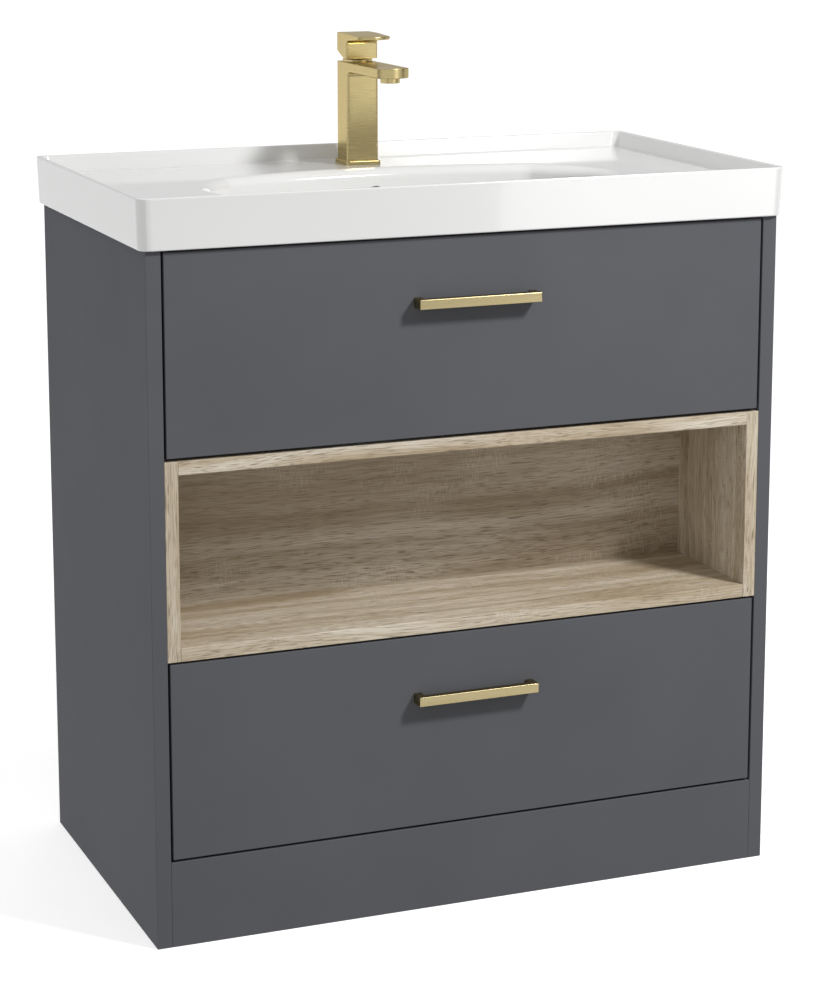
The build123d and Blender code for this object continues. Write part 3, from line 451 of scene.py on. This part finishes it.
def basinShell(b):
    # skirt and rim: a tapered block with round corners, hollowed from above and from below
    wide, front, back = basinHigh.x, basinLow.y, basinHigh.y
    centre = startBlock((-wide, front, skirtZ), (wide, back, basinHigh.z))
    roundUpright(lambda p: p.y < centre.y, b["frontCorner"], 10)
    roundUpright(lambda p: p.y > back - mm and abs(p.x) > wide - mm, b["backCorner"], 4)
    pick("FACE", lambda f: f.normal.z < -0.9)
    grow((1 - b["taper"] / wide, 1 - b["taper"] / (back - front), 1), (0, back, skirtZ))
    shell = finishMesh("vanityBasin")
    foot, rim, over = b["rimFoot"], b["rimWidth"], 10 * mm
    slope = (foot - rim) * (basinHigh.z + over - deckZ) / (basinHigh.z - deckZ)
    deep = (back - front) / 2 - foot
    startBlock((foot - wide, front + foot, deckZ), (wide - foot, back - foot, basinHigh.z + over))
    roundUpright(lambda p: True, b["rimCorner"], 8)
    pick("FACE", lambda f: f.normal.z > 0.9)
    grow((1 + slope / (wide - foot), 1 + slope / deep, 1), (0, centre.y, 0))
    cutAway(shell, finishMesh("rimPocket"))
    inside = b["skirtWidth"]
    startBlock((inside - wide, front + inside, skirtZ - over),
               (wide - inside, back - inside, ceilingZ))
    roundUpright(lambda p: True, b["rimCorner"], 6)
    cutAway(shell, finishMesh("skirtHollow"))
    roundEdges(shell, b["edgeRound"], 4, 28)
    return shell


def bowlSteps(b):
    # (height, half width, half depth) down the bowl: over the rounded lip, then down the wall
    steps = []
    lipSteps = 8
    for i in range(lipSteps + 1):
        turn = math.radians(90 * i / lipSteps)
        flare = b["lipFlare"] * (1 - math.sin(turn))
        z = deckZ - b["lip"] * (1 - math.cos(turn))
        steps.append((z, b["bowlWide"] + flare, b["bowlDeep"] + flare))
    for share in b["wallShares"] + (b["floorShare"],):
        narrow = (1 - share ** 3) ** (1 / 3)   # steep near the lip, rounding into the floor
        drop = b["lip"] + (deckZ - wasteZ - b["lip"]) * share / b["floorShare"]
        steps.append((deckZ - drop, b["bowlWide"] * narrow, b["bowlDeep"] * narrow))
    return steps


def bowlSolid(name, steps, squareness):
    # a square ring, pushed towards round, then extruded and resized step by step, and closed
    startMesh(bpy.ops.mesh.primitive_circle_add, vertices=4, radius=1,
              rotation=(0, 0, math.radians(45)))
    bpy.ops.mesh.select_all(action="SELECT")
    bpy.ops.mesh.subdivide(number_cuts=27)
    bpy.ops.transform.tosphere(value=squareness)
    mesh = bmesh.from_edit_mesh(bpy.context.object.data)
    reach = max(v.co.x for v in mesh.verts)
    z, wide, deep = steps[0]
    grow((wide / reach, deep / reach, 1), (0, 0, 0))
    bpy.ops.transform.translate(value=(0, bowlY, z))
    bpy.ops.mesh.edge_face_add()
    bpy.ops.mesh.select_mode(type="FACE")
    for before, after in zip(steps, steps[1:]):
        drop = after[0] - before[0]
        bpy.ops.mesh.extrude_region_move(TRANSFORM_OT_translate={"value": (0, 0, drop)})
        grow((after[1] / before[1], after[2] / before[2], 1), (0, bowlY, after[0]))
    return finishMesh(name)


def makeBasin(b):
    # the bowl's outer form, the boss of the waste and the ducts join the shell, then the bowl's
    # inside and the holes are cut. A cutter runs past the faces that it opens
    shell = basinShell(b)
    inside = bowlSteps(b)
    wall, past = b["wall"], 8 * mm
    outside = [(z - wall, wide + wall, deep + wall)
               for z, wide, deep in inside if z - wall < ceilingZ]
    topRing = (ceilingZ + 3 * mm, outside[0][1], outside[0][2])
    cutAway(shell, bowlSolid("bowlOutside", [topRing] + outside, b["squareness"]), "UNION")
    bossZ = wasteZ - b["bossBelow"]
    bossSteps = [(bossZ - b["bossDepth"], b["boss"]), (bossZ, b["boss"])]
    cutAway(shell, turned("wasteBoss", wasteMiddle, bossSteps), "UNION")
    duct, ductBack, ductLow = b["duct"], bowlY + b["ductBack"], wasteZ - b["ductBelow"]
    startBlock((-duct, bowlY + b["ductFront"], ductLow), (duct, ductBack, ceilingZ + 3 * mm))
    cutAway(shell, finishMesh("overflowDuct"), "UNION")
    startBlock((-duct, wasteMiddle.y + b["floorDuctFrom"], ductLow),
               (duct, ductBack, wasteZ - b["floorDuctBelow"]))
    cutAway(shell, finishMesh("floorDuct"), "UNION")
    topRing = (inside[0][0] + 20 * mm, inside[0][1], inside[0][2])
    cutAway(shell, bowlSolid("bowlInside", [topRing] + inside, b["squareness"]))
    hole = b["overflow"]
    holeSteps = [(bowlY + b["overflowFrom"], hole), (bowlY + b["overflowTo"], hole)]
    cutAway(shell, turned("overflowHole", (0, 0, deckZ - b["overflowDrop"]), holeSteps, 1))
    hole = b["wasteHole"]
    holeSteps = [(wasteZ - 5 * past, hole), (wasteZ + past, hole)]
    cutAway(shell, turned("wasteHole", wasteMiddle, holeSteps))
    hole = b["tapHole"]
    holeSteps = [(deckZ - 2.5 * past, hole), (deckZ + past, hole)]
    cutAway(shell, turned("tapHole", tapMiddle, holeSteps))
    return shell


def dressSmooth(piece):
    # smooth shading that keeps broad flat faces flat
    bpy.ops.object.select_all(action="DESELECT")
    piece.select_set(True)
    bpy.context.view_layer.objects.active = piece
    bpy.ops.object.shade_smooth_by_angle(angle=smoothAngle)
    useModifier(piece, "WEIGHTED_NORMAL", keep_sharp=True, weight=80)


basinPiece = makeBasin(basin)
dressSmooth(basinPiece)
settle(basinPiece, "cabinet", whiteGlaze, "glazed_ceramic", "basin")
print("basin done:", len(basinPiece.data.polygons), "faces")

tapBodyLow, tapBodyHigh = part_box("tap_body")
aeratorLow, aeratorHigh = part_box("tap_aerator")
cartridgeLow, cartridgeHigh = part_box("tap_cartridge")
leverLow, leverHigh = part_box("tap_lever")
plateLow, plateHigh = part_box("tap_base_plate")

tap = {
    "depth": 38 * mm,          # the column's, from front to back
    "spoutThickness": 12.5 * mm, "spoutArc": 8 * mm,
    "arcColumns": 10,          # the strips that make the curved ends of spout and lever
    "bandRound": 3.8 * mm,     # the broad rounding down the column and along the spout
    "cove": 6 * mm, "topRound": 0.8 * mm, "tipRound": 1.2 * mm,
    "aeratorRadius": 12 * mm, "aeratorSeat": 9 * mm, "aeratorEdge": 0.6 * mm,
    "aeratorLip": 2 * mm, "aeratorFoot": 2.2 * mm,   # the recessed face's inset, outside and inside
    "aeratorFace": 1.5 * mm,   # the depth of that recess
    "passages": 6, "passageRing": 6 * mm, "passage": 1.6 * mm, "passageDepth": 6 * mm,
    "cartridgeRadius": 13 * mm, "cartridgeGap": 0.05 * mm,
    "ringEdge": 0.5 * mm, "ringGap": 0.3 * mm,
    "plateRound": 4 * mm, "plateEdge": 1.2 * mm, "plateHole": 15.5 * mm,
    "leverFront": 15.8 * mm,   # the block's face, ahead of the tap's middle
    "leverArc": 8 * mm,
    "gripBack": 10 * mm, "gripTip": 4.0 * mm,        # the grip's thickness at its two ends
    "gripFall": 2 * mm,        # how far its top falls towards the tip
    "heelDrop": 8 * mm, "heelFrom": 5 * mm,
    "leverBand": 2.8 * mm, "leverCove": 4 * mm,
    "bandBelow": 2.5 * mm,     # the band keeps this far under the lever's top
    "socket": 4.1 * mm,        # half width of the square hole for the stem
    "socketTop": 17.5 * mm,    # its end, above the collar
    "grubRadius": 2.5 * mm, "grubHole": 2.55 * mm,
}


def bulge(test, half, depth, columns):
    # the picked end face is divided across x, then each column of it moves forward on an arc
    pick("EDGE", lambda e: along(e, 0) and test(middle(e)))
    bpy.ops.mesh.subdivide(number_cuts=columns - 1)
    radius = (half * half + depth * depth) / (2 * depth)
    for i in range(1, columns):
        x = half * (2 * i / columns - 1)
        pick("VERT", lambda v: near(v.co.x, x) and test(v.co))
        forward = math.sqrt(radius * radius - x * x) - (radius - depth)
        bpy.ops.transform.translate(value=(0, -forward, 0))


def steep(e):
    # an edge where two faces meet at more than about 23 degrees
    return len(e.link_faces) == 2 and e.calc_face_angle() > 0.4


def weighEdges(test, weight):
    # adds bevel weight to the steep edges that pass the test. Weights add up, so an edge
    # must pass only one of the tests
    pick("EDGE", lambda e: steep(e) and test(e))
    bpy.ops.transform.edge_bevelweight(value=weight)


def atSide(place, half):
    return abs(place.x) > half - 0.1 * mm


def makeTapBody(t):
    half = tapBodyHigh.x
    front, back = tapMiddle.y - t["depth"] / 2, tapMiddle.y + t["depth"] / 2
    under = tapBodyHigh.z - t["spoutThickness"]
    tip = tapBodyLow.y + t["spoutArc"]
    startBlock((-half, front, tapBodyLow.z), (half, back, under))
    pick("FACE", lambda f: f.normal.z > 0.9)
    bpy.ops.mesh.extrude_region_move(TRANSFORM_OT_translate={"value": (0, 0, t["spoutThickness"])})
    pick("FACE", lambda f: f.normal.y < -0.9 and f.calc_center_median().z > under)
    bpy.ops.mesh.extrude_region_move(TRANSFORM_OT_translate={"value": (0, tip - front, 0)})
    pick("EDGE", lambda e: along(e, 0) and near(middle(e).y, front) and near(middle(e).z, under))
    bpy.ops.mesh.bevel(offset=t["cove"], segments=7, affect="EDGES")
    bulge(lambda p: near(p.y, tip), half, t["spoutArc"], t["arcColumns"])
    top = tapBodyHigh.z
    small = t["topRound"] / t["bandRound"]

    def banded(e):
        # down the column and along the spout, at both sides
        place = middle(e)
        return (atSide(place, half) and not atTip(e)
                and tapBodyLow.z + mm < place.z < top - 0.1 * mm)

    def atTip(e):
        return along(e, 2) and near(middle(e).y, tip)

    def underTip(e):
        place = middle(e)
        return not atSide(place, half) and near(place.z, under) and place.y < tip + mm

    weighEdges(banded, 1)
    weighEdges(atTip, t["tipRound"] / t["bandRound"])
    weighEdges(lambda e: near(middle(e).z, top), small)
    weighEdges(underTip, small)
    body = finishMesh("tapBody")
    roundWeighted(body, t["bandRound"], 6)
    bore = t["cartridgeRadius"] + t["cartridgeGap"]
    boreSteps = [(cartridgeLow.z, bore), (tapBodyHigh.z + 5 * mm, bore)]
    cutAway(body, turned("cartridgeBore", tapMiddle, boreSteps))
    seat = t["aeratorRadius"] + t["cartridgeGap"]
    seatSteps = [(under - t["aeratorSeat"], seat), (aeratorHigh.z + 0.1 * mm, seat)]
    cutAway(body, turned("aeratorSeat", (aeratorLow + aeratorHigh) / 2, seatSteps))
    return body


def makeBasePlate(t):
    startBlock(plateLow, plateHigh)
    roundUpright(lambda p: True, t["plateRound"], 6)
    pick("EDGE", lambda e: near(middle(e).z, plateHigh.z))
    bpy.ops.mesh.bevel(offset=t["plateEdge"], segments=3, affect="EDGES")
    plate = finishMesh("tapBasePlate")
    hole = t["plateHole"]
    holeSteps = [(plateLow.z - mm, hole), (plateHigh.z + mm, hole)]
    cutAway(plate, turned("plateHole", tapMiddle, holeSteps))
    return plate


def makeNeckRing(t):
    # a turned collar with a small flat chamfer, bored for the cartridge
    outer, edge = ringHigh.x, t["ringEdge"]
    ring = turned("tapNeckRing", tapMiddle, [
        (ringLow.z, outer - edge / 2), (ringLow.z + edge / 2, outer),
        (ringHigh.z - edge, outer), (ringHigh.z, outer - edge)])
    bore = t["cartridgeRadius"] + t["ringGap"]
    cutAway(ring, turned("ringBore", tapMiddle, [(ringLow.z - mm, bore), (ringHigh.z + mm, bore)]))
    return ring


def makeAerator(t):
    # a turned nozzle: plain collar, then a recessed face with its ring of water passages
    centre = (aeratorLow + aeratorHigh) / 2
    radius, edge = t["aeratorRadius"], t["aeratorEdge"]
    nozzle = turned("tapAerator", centre, [
        (aeratorHigh.z, radius), (aeratorLow.z + edge, radius), (aeratorLow.z, radius - edge),
        (aeratorLow.z, radius - t["aeratorLip"]),
        (aeratorLow.z + t["aeratorFace"], radius - t["aeratorFoot"])])
    hole = t["passage"]
    holeSteps = [(aeratorLow.z - mm, hole), (aeratorLow.z + t["passageDepth"], hole)]
    for i in range(t["passages"]):
        turn = 2 * math.pi * i / t["passages"]
        place = centre + Vector((math.cos(turn), math.sin(turn), 0)) * t["passageRing"]
        cutAway(nozzle, turned("waterPassage", place, holeSteps, sides=20))
    return nozzle


def makeLever(t):
    half = leverHigh.x
    front, back = tapMiddle.y - t["leverFront"], leverHigh.y
    tip = leverLow.y + t["leverArc"]
    gripLow = leverHigh.z - t["gripBack"]
    startBlock((-half, front, leverLow.z), (half, back, gripLow))
    pick("FACE", lambda f: f.normal.z > 0.9)
    bpy.ops.mesh.extrude_region_move(TRANSFORM_OT_translate={"value": (0, 0, t["gripBack"])})
    pick("FACE", lambda f: f.normal.y < -0.9 and f.calc_center_median().z > gripLow)
    bpy.ops.mesh.extrude_region_move(TRANSFORM_OT_translate={"value": (0, tip - front, 0)})
    share = (back - tip) / (back - leverLow.y)   # the top falls evenly to the tip of the arc
    pick("VERT", lambda v: near(v.co.y, tip) and near(v.co.z, leverHigh.z))
    bpy.ops.transform.translate(value=(0, 0, -t["gripFall"] * share))
    pick("VERT", lambda v: near(v.co.y, tip) and near(v.co.z, gripLow))
    rise = t["gripBack"] - t["gripTip"] - t["gripFall"] * share
    bpy.ops.transform.translate(value=(0, 0, rise))
    pick("EDGE", lambda e: along(e, 0) and near(middle(e).y, front) and near(middle(e).z, gripLow))
    bpy.ops.mesh.bevel(offset=t["leverCove"], segments=5, affect="EDGES")
    bulge(lambda p: near(p.y, tip), half, t["leverArc"], t["arcColumns"])
    # the block's heel is cut back, so that the lever can tip
    heelY = tapMiddle.y - t["heelFrom"]
    drop = Vector((0, back - heelY, t["heelDrop"]))
    normal = Vector((0, -drop.z, drop.y)).normalized()
    bpy.ops.mesh.select_all(action="SELECT")
    bpy.ops.mesh.bisect(plane_co=(0, heelY, leverLow.z), plane_no=-normal,
                        clear_outer=True, use_fill=True)

    def banded(e):
        # round the block's front and under the grip, at both sides
        place = middle(e)
        return (atSide(place, half) and not near(place.y, tip) and place.y < back - mm
                and leverLow.z + mm < place.z < leverHigh.z - t["bandBelow"])

    weighEdges(banded, 1)
    weighEdges(lambda e: not banded(e), t["topRound"] / t["leverBand"])
    lever = finishMesh("tapLever")
    roundWeighted(lever, t["leverBand"], 5)
    s = t["socket"]
    startBlock((-s, tapMiddle.y - s, leverLow.z - mm),
               (s, tapMiddle.y + s, ringHigh.z + t["socketTop"]))
    cutAway(lever, finishMesh("stemSocket"))
    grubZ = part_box("lever_grub_screw")[0].z + t["grubRadius"]
    holeSteps = [(tapMiddle.y, t["grubHole"]), (back + mm, t["grubHole"])]
    cutAway(lever, turned("grubHole", (0, 0, grubZ), holeSteps, 1, 24))
    return lever


tapPieces = {
    "tap_body": (makeTapBody(tap), "cabinet"),
    "tap_base_plate": (makeBasePlate(tap), "cabinet"),
    "tap_neck_ring": (makeNeckRing(tap), "cabinet"),
    "tap_lever": (makeLever(tap), "lever"),
    "tap_aerator": (makeAerator(tap), "cabinet"),
}
for node, (piece, body) in tapPieces.items():
    dressSmooth(piece)
    settle(piece, body, satinBrass, "brushed_brass", node)
print("tap done")

pull = {"bar": 9.5 * mm, "round": 0.9 * mm, "screwDepth": 12 * mm, "screwHole": 2.05 * mm}


def makePull(p):
    # one square bar with its two legs, bored for the screws
    low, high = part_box("lower_handle")
    startBlock(low, (high.x, low.y + p["bar"], high.z))
    for side in (-1, 1):
        cut = side * (high.x - p["bar"])
        bpy.ops.mesh.select_all(action="SELECT")
        bpy.ops.mesh.bisect(plane_co=(cut, 0, 0), plane_no=(1, 0, 0))
    pick("FACE", lambda f: f.normal.y > 0.9 and abs(f.calc_center_median().x) > high.x - p["bar"])
    leg = high.y - low.y - p["bar"]
    bpy.ops.mesh.extrude_region_move(TRANSFORM_OT_translate={"value": (0, leg, 0)})
    piece = finishMesh("lowerPull")
    roundEdges(piece, p["round"], 3, 30)
    for side in (-1, 1):
        x = side * (high.x - p["bar"] / 2)
        steps = [(high.y - p["screwDepth"], p["screwHole"]), (high.y + mm, p["screwHole"])]
        cutAway(piece, turned("screwHole", (x, 0, (low.z + high.z) / 2), steps, 1, 20))
    return piece


lowerPull = makePull(pull)
dressSmooth(lowerPull)
upperPull = lowerPull.copy()
upperPull.data = lowerPull.data.copy()
upperPull.name = "upperPull"
bpy.context.scene.collection.objects.link(upperPull)
bpy.ops.object.select_all(action="DESELECT")
upperPull.select_set(True)
bpy.context.view_layer.objects.active = upperPull
bpy.ops.transform.translate(value=(0, 0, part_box("upper_handle")[0].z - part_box("lower_handle")[0].z))
bpy.ops.object.transform_apply(location=True, rotation=False, scale=False)
settle(lowerPull, "lower_drawer", barBrassShaded, "brushed_brass", "lower_handle")
settle(upperPull, "upper_drawer", barBrassShaded, "brushed_brass", "upper_handle")
print("bar pulls done")

camera = {
    "place": (-1.2129, -3.0274, 1.2525),
    "turn": 21.90, "tilt": 10.85,      # degrees to the right and down
    "lens": 96.7, "shift": -0.14,
}


def addCamera(c):
    bpy.ops.object.camera_add(location=c["place"],
                              rotation=(math.radians(90 - c["tilt"]), 0, math.radians(-c["turn"])))
    view = bpy.context.object
    view.name = "camera"
    view.data.lens = c["lens"]
    view.data.shift_y = c["shift"]
    bpy.context.scene.camera = view


studio = {
    "bright": (-0.85, 0.40, 0.20),     # the way to the brightest part of the surround
    "dim": 0.16, "full": 0.95,         # its strength opposite that way, and towards it
    "floorSize": 60, "floorGlow": 0.5,
    "lights": {                        # place, target, width and height, watts
        "key": ((1.45, -2.1, 2.75), (0, -0.2, 0.5), (0.45, 0.45), 84),
        "rightBox": ((1.66, -2.88, 0.42), (0.2, -0.22, 0.85), (0.8, 0.6), 3.5),
    },
    "cards": {                         # place, target, width and height
        "leftCard": ((-1.6, -1.3, 1.0), (0, 0.1, 0.9), (0.3, 1.6)),
        "rightCard": ((1.9, -0.9, 1.1), (0, 0.1, 0.9), (0.4, 1.4)),
    },
}


def addFloor(s):
    bpy.ops.mesh.primitive_plane_add(size=s["floorSize"], location=(0, 0, 0))
    floor = bpy.context.object
    floor.name = "floor"
    material, tree, shader = startMaterial("pale floor", Roughness=0.7)
    tone = ramp(tree, noise(tree, objectPlace(tree), 3, 2), [(0.3, "#f8f8f8"), (0.7, "#fbfbfb")])
    tree.links.new(tone, shader.inputs["Base Color"])
    tree.links.new(tone, shader.inputs["Emission Color"])
    shader.inputs["Emission Strength"].default_value = s["floorGlow"]   # a table lit from below
    floor.data.materials.append(material)
    floor.visible_diffuse = False   # its bounce would flatten the shading


def addLight(name, place, target, size, power):
    bpy.ops.object.light_add(type="AREA", location=place)
    light = bpy.context.object
    light.name = name
    light.data.shape = "RECTANGLE"
    light.data.size, light.data.size_y = size
    light.data.energy = power
    aim = Vector(target) - Vector(place)
    light.rotation_euler = aim.to_track_quat("-Z", "Y").to_euler()


def addWorld(s):
    # a pale studio, brightest behind the object to its left and dim at the front right
    world = bpy.data.worlds.new("studio")
    bpy.context.scene.world = world
    world.use_nodes = True
    tree = world.node_tree
    background = tree.nodes["Background"]
    direction = addNode(tree, "TexCoord").outputs["Generated"]
    facing = addNode(tree, "VectorMath", {"operation": "DOT_PRODUCT", 1: s["bright"]},
                     {0: direction})
    level = grey(tree, facing.outputs["Value"], s["dim"], s["full"], -1.0)
    tree.links.new(level, background.inputs["Strength"])
    background.inputs["Color"].default_value = toLinear("#ffffff")


def addCard(name, place, target, size):
    # a black card beside the set, which shows only in the polished metal and glaze
    bpy.ops.mesh.primitive_plane_add(size=1, location=place)
    card = bpy.context.object
    card.name = name
    card.scale = (*size, 1)
    card.rotation_euler = (Vector(target) - Vector(place)).to_track_quat("Z", "Y").to_euler()
    material, tree, shader = startMaterial(name, Roughness=0.9)
    tone = ramp(tree, noise(tree, objectPlace(tree), 3, 2), [(0.3, "#0b0b0b"), (0.7, "#101010")])
    tree.links.new(tone, shader.inputs["Base Color"])
    card.data.materials.append(material)
    card.visible_camera = False
    card.visible_diffuse = False
    card.visible_shadow = False


addCamera(camera)
addFloor(studio)
addWorld(studio)
for name, light in studio["lights"].items():
    addLight(name, *light)
for name, card in studio["cards"].items():
    addCard(name, *card)
bpy.context.scene.view_settings.view_transform = "Standard"
print("floor, lights and camera done")
